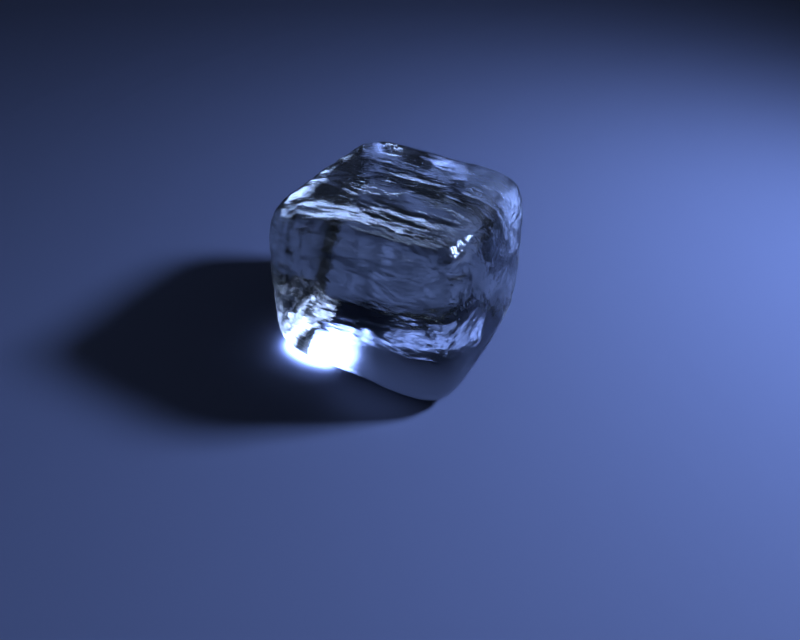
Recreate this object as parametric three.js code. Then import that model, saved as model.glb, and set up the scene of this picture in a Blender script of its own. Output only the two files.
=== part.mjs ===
// A melting ice cube from a freezer tray, standing on its base.
//
// One solid piece of clear ice. It froze as a block a little wider than it is tall and has been melting for
// some minutes: every edge and corner has gone round, the walls lean in slightly towards the top, the faces
// carry slow swells and hollows, and the underside has melted flat against what the cube stands on.
//
// Millimetres, +Z up. The origin is the middle of the base. X runs along the longer side, Y along the other.

import * as THREE from "three";

// Driving dimensions, over everything.
const WIDTH = 32.2; // along X, where the block is widest
const DEPTH = 31.6; // along Y, where the block is deepest
const HEIGHT = 27; // from the flat base to the highest swell of the top
const SQUARENESS = 5.8; // exponent of the rounded block: 2 is an egg, 20 a sharp-edged box
const LEAN = 0.045; // share by which the plan shrinks from half height to the top, and grows to the base
const BASE_MELT = 0.6; // height that has melted away under the block and left the base flat

// Swells and hollows that slow melting leaves in the faces: trains of waves that cross each other.
const WAVES = 9;
const LONGEST_WAVE = 24; // from crest to crest
const SHORTEST_WAVE = 7;
const STEEPNESS = 0.004; // height of a train's crests, as a share of its length
const WAVE_TURN = Math.PI * (3 - Math.sqrt(5)); // from one train's direction to the next, the golden angle
const WAVE_LAG = 32 * WAVE_TURN; // from one train's phase to the next

// Fineness of the faceted surface.
const SEGMENTS = 28; // along each side of a face
const EDGE_CROWDING = 0.5; // 0 spaces the facets evenly, towards 1 they crowd into the rounded edges

/** The trains of melt waves, each with its direction, wave number, phase and crest height. */
function meltWaves() {
  const waves = [];
  for (let i = 0; i < WAVES; i++) {
    const length = LONGEST_WAVE * (SHORTEST_WAVE / LONGEST_WAVE) ** (i / (WAVES - 1));
    const rise = 1 - (2 * (i + 0.5)) / WAVES;
    const level = Math.sqrt(1 - rise * rise);
    waves.push({
      direction: new THREE.Vector3(level * Math.cos(i * WAVE_TURN), level * Math.sin(i * WAVE_TURN), rise),
      number: (2 * Math.PI) / length,
      phase: i * WAVE_LAG,
      crest: length * STEEPNESS,
    });
  }
  return waves;
}

/** How far the melt waves raise the surface at a point of it. */
function swellAt(point, waves) {
  let swell = 0;
  for (const { direction, number, phase, crest } of waves) {
    swell += crest * Math.sin(number * point.dot(direction) + phase);
  }
  return swell;
}

/** Crowds evenly spaced positions from -1 to 1 towards the two ends, where the edges are round. */
function crowd(t) {
  return (1 - EDGE_CROWDING) * t + EDGE_CROWDING * Math.sin((Math.PI / 2) * t);
}

/** Moves a point of a block that is 2 wide, deep and high onto the surface of the melted block. */
function melt(point, half, waves) {
  const way = new THREE.Vector3(crowd(point.x), crowd(point.y), crowd(point.z)).multiply(half);
  const reach =
    Math.abs(way.x / half.x) ** SQUARENESS +
    Math.abs(way.y / half.y) ** SQUARENESS +
    Math.abs(way.z / half.z) ** SQUARENESS;
  point.copy(way).multiplyScalar(reach ** (-1 / SQUARENESS));
  point.addScaledVector(way.normalize(), swellAt(point, waves));
  const plan = 1 - (LEAN * point.z) / half.z;
  point.x *= plan;
  point.y *= plan;
}

/** Melts the underside flat at z = 0: the last BASE_MELT of the block's height is gone. */
function flattenBase(geometry) {
  geometry.computeBoundingBox();
  geometry.translate(0, 0, -geometry.boundingBox.min.z - BASE_MELT);
  const position = geometry.getAttribute("position");
  for (let i = 0; i < position.count; i++) {
    position.setZ(i, Math.max(position.getZ(i), 0));
  }
}

/** Brings the block to its full WIDTH, DEPTH and HEIGHT, with the origin in the middle of its base. */
function fitToSize(geometry) {
  geometry.computeBoundingBox();
  const size = geometry.boundingBox.getSize(new THREE.Vector3());
  const middle = geometry.boundingBox.getCenter(new THREE.Vector3());
  geometry.translate(-middle.x, -middle.y, 0);
  geometry.scale(WIDTH / size.x, DEPTH / size.y, HEIGHT / size.z);
}

/** The melted block: a finely divided box, rounded, swollen and flattened underneath. */
function iceGeometry() {
  const half = new THREE.Vector3(WIDTH, DEPTH, HEIGHT).divideScalar(2);
  const waves = meltWaves();
  const geometry = new THREE.BoxGeometry(2, 2, 2, SEGMENTS, SEGMENTS, SEGMENTS);
  const position = geometry.getAttribute("position");
  const point = new THREE.Vector3();
  for (let i = 0; i < position.count; i++) {
    point.fromBufferAttribute(position, i);
    melt(point, half, waves);
    position.setXYZ(i, point.x, point.y, point.z);
  }
  flattenBase(geometry);
  fitToSize(geometry);
  geometry.computeVertexNormals();
  return geometry;
}

const clearIce = new THREE.MeshStandardMaterial({
  name: "clear ice",
  color: 0xb9cbe0,
  roughness: 0.05,
  metalness: 0,
  transparent: true,
  opacity: 0.35,
});

const iceCube = new THREE.Mesh(iceGeometry(), clearIce);
iceCube.name = "ice_cube";

const part = new THREE.Group();
part.add(iceCube);

export default part;
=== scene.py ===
import math
from collections import namedtuple

import bmesh
import bpy
from bpy.props import FloatProperty, FloatVectorProperty, IntProperty, PointerProperty
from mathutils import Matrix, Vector, noise


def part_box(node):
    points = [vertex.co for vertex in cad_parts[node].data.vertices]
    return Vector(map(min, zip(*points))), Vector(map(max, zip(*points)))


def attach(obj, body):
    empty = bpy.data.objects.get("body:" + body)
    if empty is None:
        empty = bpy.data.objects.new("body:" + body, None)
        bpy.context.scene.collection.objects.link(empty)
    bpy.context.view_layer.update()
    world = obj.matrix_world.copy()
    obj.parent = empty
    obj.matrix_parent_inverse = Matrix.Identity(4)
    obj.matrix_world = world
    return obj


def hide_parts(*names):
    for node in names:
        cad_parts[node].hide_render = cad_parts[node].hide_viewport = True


# A melting ice cube: one clear block with rounded edges, rippled by its own
# meltwater. Lengths are metres, angles are radians, and +Z is up.

bl_info = {
    "name": "Ice Cube",
    "version": (1, 0, 0),
    "blender": (4, 5, 0),
    "location": "3D View > Sidebar > Ice Cube",
    "description": "Makes a clear melting ice cube and the stage that it is shown on",
    "category": "Object",
}

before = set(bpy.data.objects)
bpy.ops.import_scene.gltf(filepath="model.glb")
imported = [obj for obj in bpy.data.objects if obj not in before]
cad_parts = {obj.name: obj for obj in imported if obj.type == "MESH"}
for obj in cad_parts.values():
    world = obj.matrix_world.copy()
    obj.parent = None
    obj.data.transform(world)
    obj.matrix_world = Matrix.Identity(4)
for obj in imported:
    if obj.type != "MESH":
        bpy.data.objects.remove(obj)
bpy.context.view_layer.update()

MM = 0.001
BLOCK_NODE = "ice_cube"

# A panel is a soft lamp that faces the block. Its bearing is clockwise from the way
# the camera looks, seen from above, its climb is the angle above the floor, and its
# width and height are angles too, all in degrees. Its distance from the block is in
# metres, and its radiance is how bright it looks. It lights the floor, or is mirrored
# on the wet surface, or shines through the ice. One that doesn't light the floor fades
# from its middle to its rim.
Panel = namedtuple("Panel", "name bearing climb width height distance radiance shows")
FLOOR = "floor"
GLOSS = "gloss"
DEPTH = "depth"
NEAR = 0.17
FAR = 0.33
PANELS = (
    Panel("key", 88, 37, 9, 9, NEAR, 84, (FLOOR, DEPTH)),
    Panel("side_glow", 47, 32, 40, 54, FAR, 48, (DEPTH,)),
    Panel("lace_right", -140, 33, 18, 18, FAR, 44, (DEPTH,)),
    Panel("lace_left", -110, 28, 50, 12, FAR, 24, (DEPTH,)),
    Panel("rear_seam", 142, 20, 20, 30, FAR, 2, (DEPTH,)),
    Panel("left_foot", 88, 10, 56, 28, FAR, 36, (DEPTH,)),
    Panel("corner_spot", 76, 38, 14, 20, FAR, 200, (GLOSS,)),
    Panel("left_corner", -36, 47, 44, 18, FAR, 48, (GLOSS,)),
    Panel("left_rim", -26, 16, 22, 26, FAR, 26, (GLOSS,)),
    Panel("left_veil", -68, 32, 40, 28, FAR, 26, (GLOSS,)),
    Panel("edge_left", -8, 50, 30, 9, FAR, 46, (GLOSS,)),
    Panel("edge_right", 24, 48, 54, 9, FAR, 15, (GLOSS,)),
    Panel("edge_high", 4, 70, 70, 14, FAR, 20, (GLOSS,)),
    Panel("top_haze", 0, 26, 100, 36, FAR, 0.2, (GLOSS,)),
    Panel("back_glint", 0, 13, 5, 4, FAR, 40, (GLOSS,)),
)

# A glow is light that the block gathers and throws on the floor. It is made by a small
# oval lamp that faces down from a little above the floor, and only the floor sees it.
# Its place, its length and width, its height above the base and the size of its
# patches are in millimetres, and its turn is in degrees. A patch of 0 leaves it even.
Glow = namedtuple("Glow", "name x y length width turn height patch radiance")
GLOWS = (
    Glow("foot_outside", -9.2, -12.2, 11, 5, 0, 0.8, 0, 14),
    Glow("foot_corner", -12.0, -9.8, 6, 8, 0, 0.8, 0, 16),
    Glow("foot_inside", -7.7, -5.3, 15, 10, 104, 0.8, 0, 18),
    Glow("front_line", 0.3, 1.6, 15, 2.6, 24, 0.6, 1.2, 5.5),
    Glow("front_fill", 6.0, -6.0, 18, 10, 0, 2, 0, 0.25),
    Glow("front_spill", 4.0, -12.0, 20, 16, 0, 4, 0, 0.12),
    Glow("rim", -6.8, 0.6, 9, 4.5, 29, 0.3, 0.9, 13),
    Glow("top_back", 1.1, 6.3, 4, 5, 29, 0.3, 0.8, 4),
    Glow("behind", -6.4, 18.0, 10, 6, 0, 0.8, 1.3, 0.65),
    Glow("behind_left", -15.2, 16.8, 10, 7, 0, 0.8, 1.3, 0.4),
)

# How the solid's loose triangles are joined again.
SAME_CORNER = 0.001 * MM
QUAD_ANGLE = math.radians(60)

# How the ripples are layered: each layer is finer and lower than the one before.
RIPPLE_LAYERS = 3
RIPPLE_STEP = 2.0
RIPPLE_DECAY = 1.0
WANDER_RATE = 0.5

# The grain of the ice and the patches of a glow: their layers and how far they swirl,
# and for the patches which band of the noise runs from dark to fully bright.
GRAIN_LAYERS = 3
GRAIN_SWIRL = 0.4
PATCH_LAYERS = 4
PATCH_SWIRL = 0.6
PATCH_DARK = 0.48
PATCH_BRIGHT = 0.63
PATCH_GAIN = 3.5

WHITE = (1, 1, 1, 1)
SENSOR_WIDTH = 36
CLOSEST_VIEW = 1 * MM


class IceSettings(bpy.types.PropertyGroup):
    """Sizes and colours of the block."""

    fineness: IntProperty(
        name="Fineness",
        description="How many times each face of the block is halved before it is rippled",
        default=2,
        min=1,
        max=2,
    )
    ripple_length: FloatProperty(
        name="Ripple length",
        description="How long a melt ripple runs along the wide sides",
        default=8.0 * MM,
        unit="LENGTH",
        precision=5,
    )
    ripple_width: FloatProperty(
        name="Ripple width",
        description="Distance from one melt ripple to the next",
        default=2.6 * MM,
        unit="LENGTH",
        precision=5,
    )
    ripple_height: FloatProperty(
        name="Ripple height",
        description="How far a melt ripple stands out of the surface",
        default=0.15 * MM,
        unit="LENGTH",
        precision=6,
    )
    ripple_bend: FloatProperty(
        name="Ripple bend",
        description="How much the ripples wander from straight lines",
        default=0.9,
    )
    ripple_pattern: IntProperty(
        name="Ripple pattern",
        description="Number of the chance pattern that the ripples wander by",
        default=3,
        min=1,
    )
    dry_foot: FloatProperty(
        name="Dry foot",
        description="Height over which the ripples fade out towards the flat base",
        default=1.2 * MM,
        unit="LENGTH",
        precision=5,
    )
    grain_width: FloatProperty(
        name="Grain width",
        description="Size of the finest unevenness of the wet surface",
        default=1.2 * MM,
        unit="LENGTH",
        precision=5,
    )
    grain_height: FloatProperty(
        name="Grain height",
        description="Depth of the finest unevenness of the wet surface",
        default=0.14 * MM,
        unit="LENGTH",
        precision=6,
    )
    refraction: FloatProperty(
        name="Refraction",
        description="Index of refraction of ice",
        default=1.31,
    )
    roughness: FloatProperty(
        name="Roughness",
        description="Roughness of the wet surface",
        default=0.1,
        subtype="FACTOR",
    )
    depth_tint: FloatVectorProperty(
        name="Depth tint",
        description="Colour that light takes on inside the ice",
        default=(0.67, 0.67, 0.645, 1.0),
        size=4,
        subtype="COLOR",
    )
    depth_density: FloatProperty(
        name="Depth density",
        description="How strongly the depth tint builds up, per metre of ice",
        default=130.0,
    )


class StageSettings(bpy.types.PropertyGroup):
    """Colours of the floor and the light, and the place of the camera."""

    floor_color: FloatVectorProperty(
        name="Floor",
        description="Colour of the plain floor",
        default=(0.46, 0.52, 0.74, 1.0),
        size=4,
        subtype="COLOR",
    )
    floor_width: FloatProperty(
        name="Floor width",
        description="Length of each side of the floor",
        default=3.0,
        unit="LENGTH",
    )
    water_film: FloatProperty(
        name="Water film",
        description="How far the wet base is pressed into the floor, so no air is left under it",
        default=0.02 * MM,
        unit="LENGTH",
        precision=6,
    )
    light_color: FloatVectorProperty(
        name="Light",
        description="Colour of the lamps",
        default=(0.36, 0.5, 1.0),
        subtype="COLOR",
    )
    shine_color: FloatVectorProperty(
        name="Shine",
        description="Colour of the lamps that are only mirrored on the wet surface",
        default=(0.38, 0.55, 1.0),
        subtype="COLOR",
    )
    light_scale: FloatProperty(
        name="Light scale",
        description="Brightness of all the lamps together",
        default=1.0,
    )
    air_color: FloatVectorProperty(
        name="Air",
        description="Colour of the dark room around the stage",
        default=(0.012, 0.015, 0.024, 1.0),
        size=4,
        subtype="COLOR",
    )
    view_turn: FloatProperty(
        name="View turn",
        description="How far the camera stands round from the front of the block",
        default=math.radians(28.54),
        subtype="ANGLE",
    )
    view_climb: FloatProperty(
        name="View climb",
        description="How steeply the camera looks down",
        default=math.radians(40.95),
        subtype="ANGLE",
    )
    view_distance: FloatProperty(
        name="View distance",
        description="Distance from the camera to the point it aims at",
        default=98.05 * MM,
        unit="LENGTH",
        precision=5,
    )
    view_aim: FloatVectorProperty(
        name="View aim",
        description="The point on the floor that the camera aims at",
        default=(-0.92 * MM, 1.37 * MM, 0.0),
        subtype="TRANSLATION",
        precision=5,
    )
    view_lens: FloatProperty(
        name="View lens",
        description="Focal length of the camera, in millimetres, on a 36 mm sensor",
        default=25.58,
    )


def fine_block(node, fineness):
    """A smooth, finely divided copy of a node's mesh."""
    bm = bmesh.new()
    bm.from_mesh(node.data)
    bmesh.ops.remove_doubles(bm, verts=bm.verts, dist=SAME_CORNER)
    bmesh.ops.join_triangles(
        bm,
        faces=bm.faces,
        angle_face_threshold=QUAD_ANGLE,
        angle_shape_threshold=QUAD_ANGLE,
    )
    mesh = bpy.data.meshes.new("coarse_block")
    bm.to_mesh(mesh)
    bm.free()
    coarse = bpy.data.objects.new("coarse_block", mesh)
    bpy.context.scene.collection.objects.link(coarse)
    rounding = coarse.modifiers.new("rounding", "SUBSURF")
    rounding.levels = fineness
    rounding.render_levels = fineness
    depsgraph = bpy.context.evaluated_depsgraph_get()
    fine = bpy.data.meshes.new_from_object(coarse.evaluated_get(depsgraph))
    bpy.data.objects.remove(coarse)
    bpy.data.meshes.remove(mesh)
    return fine


def ripple_at(place, ice):
    """Height of the melt ripples at a place on the block."""
    stretched = Vector(
        (
            place.x / ice.ripple_length,
            place.y / ice.ripple_width,
            place.z / ice.ripple_width,
        )
    )
    wander = noise.noise_vector(stretched * WANDER_RATE) * ice.ripple_bend
    streak = noise.fractal(
        stretched + wander,
        RIPPLE_DECAY,
        RIPPLE_STEP,
        RIPPLE_LAYERS,
        noise_basis="PERLIN_ORIGINAL",
    )
    fade = min(1.0, max(0.0, place.z / ice.dry_foot))
    return ice.ripple_height * streak * fade


def ripple_block(mesh, ice):
    """Moves every point of the block along its normal by the melt ripples."""
    # Without a set pattern the ripples would wander differently on every run.
    noise.seed_set(ice.ripple_pattern)
    moves = [vertex.normal * ripple_at(vertex.co, ice) for vertex in mesh.vertices]
    for vertex, move in zip(mesh.vertices, moves):
        vertex.co += move
    mesh.polygons.foreach_set("use_smooth", [True] * len(mesh.polygons))
    mesh.update()


def clear_ice(ice):
    """Clear wet ice, with a fine grain on its surface and a tint that deepens inside."""
    material = bpy.data.materials.new("clear_ice")
    material.use_nodes = True
    nodes = material.node_tree.nodes
    links = material.node_tree.links
    shader = nodes["Principled BSDF"]
    shader.inputs["Base Color"].default_value = WHITE
    shader.inputs["Transmission Weight"].default_value = 1
    shader.inputs["IOR"].default_value = ice.refraction
    shader.inputs["Roughness"].default_value = ice.roughness

    place = nodes.new("ShaderNodeTexCoord")
    stretch = nodes.new("ShaderNodeMapping")
    stretch.inputs["Scale"].default_value = (ice.ripple_width / ice.ripple_length, 1, 1)
    grain = nodes.new("ShaderNodeTexNoise")
    grain.inputs["Scale"].default_value = 1 / ice.grain_width
    grain.inputs["Detail"].default_value = GRAIN_LAYERS
    grain.inputs["Distortion"].default_value = GRAIN_SWIRL
    bump = nodes.new("ShaderNodeBump")
    bump.inputs["Distance"].default_value = ice.grain_height
    links.new(place.outputs["Object"], stretch.inputs["Vector"])
    links.new(stretch.outputs["Vector"], grain.inputs["Vector"])
    links.new(grain.outputs["Fac"], bump.inputs["Height"])
    links.new(bump.outputs["Normal"], shader.inputs["Normal"])

    depth = nodes.new("ShaderNodeVolumeAbsorption")
    depth.inputs["Color"].default_value = ice.depth_tint
    depth.inputs["Density"].default_value = ice.depth_density
    links.new(depth.outputs["Volume"], nodes["Material Output"].inputs["Volume"])
    return material


class ICE_CUBE_OT_block(bpy.types.Operator):
    """Makes the block of ice in place of its plain solid"""

    bl_idname = "ice_cube.block"
    bl_label = "Make the ice block"

    def execute(self, context):
        ice = context.scene.ice_settings
        mesh = fine_block(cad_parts[BLOCK_NODE], ice.fineness)
        ripple_block(mesh, ice)
        mesh.materials.clear()
        mesh.materials.append(clear_ice(ice))
        block = bpy.data.objects.new("melting_ice", mesh)
        context.scene.collection.objects.link(block)
        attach(block, "root")
        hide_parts(BLOCK_NODE)
        return {"FINISHED"}


def make_floor(stage):
    """A wide plain floor."""
    bm = bmesh.new()
    bmesh.ops.create_grid(bm, x_segments=1, y_segments=1, size=stage.floor_width / 2)
    bmesh.ops.translate(bm, verts=bm.verts, vec=(0, 0, stage.water_film))
    mesh = bpy.data.meshes.new("floor")
    bm.to_mesh(mesh)
    bm.free()
    material = bpy.data.materials.new("plain_floor")
    material.use_nodes = True
    shader = material.node_tree.nodes["Principled BSDF"]
    shader.inputs["Base Color"].default_value = stage.floor_color
    shader.inputs["Roughness"].default_value = 1
    shader.inputs["Specular IOR Level"].default_value = 0
    mesh.materials.append(material)
    floor = bpy.data.objects.new("floor", mesh)
    bpy.context.scene.collection.objects.link(floor)


def direction(stage, bearing, climb):
    """The way to a lamp: its bearing from the camera's line of sight, and its climb."""
    turn = math.radians(bearing) - stage.view_turn
    rise = math.radians(climb)
    return Vector((math.sin(turn) * math.cos(rise), math.cos(turn) * math.cos(rise), math.sin(rise)))


def soft_lamp(stage, name, size, radiance, shows):
    """A flat lamp of a given size and brightness, which the camera never sees itself.

    It looks as bright as its energy over pi and its area.
    """
    light = bpy.data.lights.new(name, "AREA")
    light.shape = "RECTANGLE"
    light.size, light.size_y = size
    light.color = stage.shine_color if shows == (GLOSS,) else stage.light_color
    light.energy = radiance * stage.light_scale * math.pi * light.size * light.size_y
    lamp = bpy.data.objects.new(name, light)
    lamp.visible_camera = False
    lamp.visible_diffuse = FLOOR in shows
    lamp.visible_glossy = GLOSS in shows
    lamp.visible_transmission = DEPTH in shows
    bpy.context.scene.collection.objects.link(lamp)
    return lamp


def lamp_nodes(light):
    """The nodes and the links of a lamp, and a new node that tells places on it."""
    light.use_nodes = True
    nodes = light.node_tree.nodes
    return nodes, light.node_tree.links, nodes.new("ShaderNodeNewGeometry")


def fade_out(light):
    """Makes a lamp fade from its middle to its rim.

    Across the lamp the places run from 0 to 1, and are spread to run from -1 to 1.
    """
    nodes, links, place = lamp_nodes(light)
    centred = nodes.new("ShaderNodeMapping")
    centred.inputs["Location"].default_value = (-1, -1, 0)
    centred.inputs["Scale"].default_value = (2, 2, 1)
    fade = nodes.new("ShaderNodeTexGradient")
    fade.gradient_type = "SPHERICAL"
    links.new(place.outputs["Parametric"], centred.inputs["Vector"])
    links.new(centred.outputs["Vector"], fade.inputs["Vector"])
    links.new(fade.outputs["Fac"], nodes["Emission"].inputs["Strength"])


def hang_panel(stage, panel, middle):
    """Hangs one soft panel, facing the middle of the block."""
    spans = (panel.width, panel.height)
    size = [2 * panel.distance * math.tan(math.radians(span / 2)) for span in spans]
    lamp = soft_lamp(stage, panel.name, size, panel.radiance, panel.shows)
    if FLOOR not in panel.shows:
        fade_out(lamp.data)
    away = direction(stage, panel.bearing, panel.climb)
    lamp.location = middle + away * panel.distance
    lamp.rotation_euler = (-away).to_track_quat("-Z", "Y").to_euler()


def break_up(light, patch):
    """Makes a lamp uneven, in patches of a given size."""
    nodes, links, place = lamp_nodes(light)
    patches = nodes.new("ShaderNodeTexNoise")
    patches.inputs["Scale"].default_value = 1 / patch
    patches.inputs["Detail"].default_value = PATCH_LAYERS
    patches.inputs["Distortion"].default_value = PATCH_SWIRL
    contrast = nodes.new("ShaderNodeMapRange")
    contrast.inputs["From Min"].default_value = PATCH_DARK
    contrast.inputs["From Max"].default_value = PATCH_BRIGHT
    contrast.inputs["To Max"].default_value = PATCH_GAIN
    links.new(place.outputs["Position"], patches.inputs["Vector"])
    links.new(patches.outputs["Fac"], contrast.inputs["Value"])
    links.new(contrast.outputs["Result"], nodes["Emission"].inputs["Strength"])


def lay_glow(stage, glow):
    """Lays one glow on the floor."""
    size = (glow.length * MM, glow.width * MM)
    lamp = soft_lamp(stage, glow.name, size, glow.radiance, (FLOOR,))
    lamp.data.shape = "ELLIPSE"
    if glow.patch:
        break_up(lamp.data, glow.patch * MM)
    lamp.location = (glow.x * MM, glow.y * MM, glow.height * MM)
    lamp.rotation_euler = (0, 0, math.radians(glow.turn))


def place_camera(stage):
    """The camera, turned and raised round the point on the floor that it aims at."""
    data = bpy.data.cameras.new("camera")
    data.sensor_width = SENSOR_WIDTH
    data.lens = stage.view_lens
    data.clip_start = CLOSEST_VIEW
    camera = bpy.data.objects.new("camera", data)
    towards = direction(stage, 0, -math.degrees(stage.view_climb))
    camera.location = Vector(stage.view_aim) - towards * stage.view_distance
    camera.rotation_euler = (math.pi / 2 - stage.view_climb, 0, stage.view_turn)
    bpy.context.scene.collection.objects.link(camera)
    bpy.context.scene.camera = camera


def darken_room(stage):
    """A dark room and plain tones. The glows stand in for light thrown by the ice."""
    scene = bpy.context.scene
    scene.world = bpy.data.worlds.new("room")
    scene.world.use_nodes = True
    air = scene.world.node_tree.nodes["Background"]
    air.inputs["Color"].default_value = stage.air_color
    air.inputs["Strength"].default_value = 1
    scene.view_settings.view_transform = "Standard"
    scene.cycles.caustics_refractive = False
    scene.cycles.caustics_reflective = False


class ICE_CUBE_OT_stage(bpy.types.Operator):
    """Makes the floor, the lamps, the room and the camera"""

    bl_idname = "ice_cube.stage"
    bl_label = "Make the stage"

    def execute(self, context):
        stage = context.scene.stage_settings
        low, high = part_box(BLOCK_NODE)
        make_floor(stage)
        for panel in PANELS:
            hang_panel(stage, panel, (low + high) / 2)
        for glow in GLOWS:
            lay_glow(stage, glow)
        place_camera(stage)
        darken_room(stage)
        return {"FINISHED"}


class ICE_CUBE_PT_panel(bpy.types.Panel):
    """Lists the sizes, colours and pieces of the ice cube"""

    bl_idname = "ICE_CUBE_PT_panel"
    bl_label = "Ice Cube"
    bl_space_type = "VIEW_3D"
    bl_region_type = "UI"
    bl_category = "Ice Cube"

    def draw(self, context):
        layout = self.layout
        for settings in (context.scene.ice_settings, context.scene.stage_settings):
            box = layout.box()
            for name in settings.__annotations__:
                box.prop(settings, name)
        layout.operator(ICE_CUBE_OT_block.bl_idname)
        layout.operator(ICE_CUBE_OT_stage.bl_idname)


CLASSES = (
    IceSettings,
    StageSettings,
    ICE_CUBE_OT_block,
    ICE_CUBE_OT_stage,
    ICE_CUBE_PT_panel,
)


def register():
    for each in CLASSES:
        bpy.utils.register_class(each)
    bpy.types.Scene.ice_settings = PointerProperty(type=IceSettings)
    bpy.types.Scene.stage_settings = PointerProperty(type=StageSettings)


def unregister():
    del bpy.types.Scene.stage_settings
    del bpy.types.Scene.ice_settings
    for each in reversed(CLASSES):
        bpy.utils.unregister_class(each)


def main():
    register()
    bpy.ops.ice_cube.block()
    bpy.ops.ice_cube.stage()


if __name__ == "__main__":
    main()
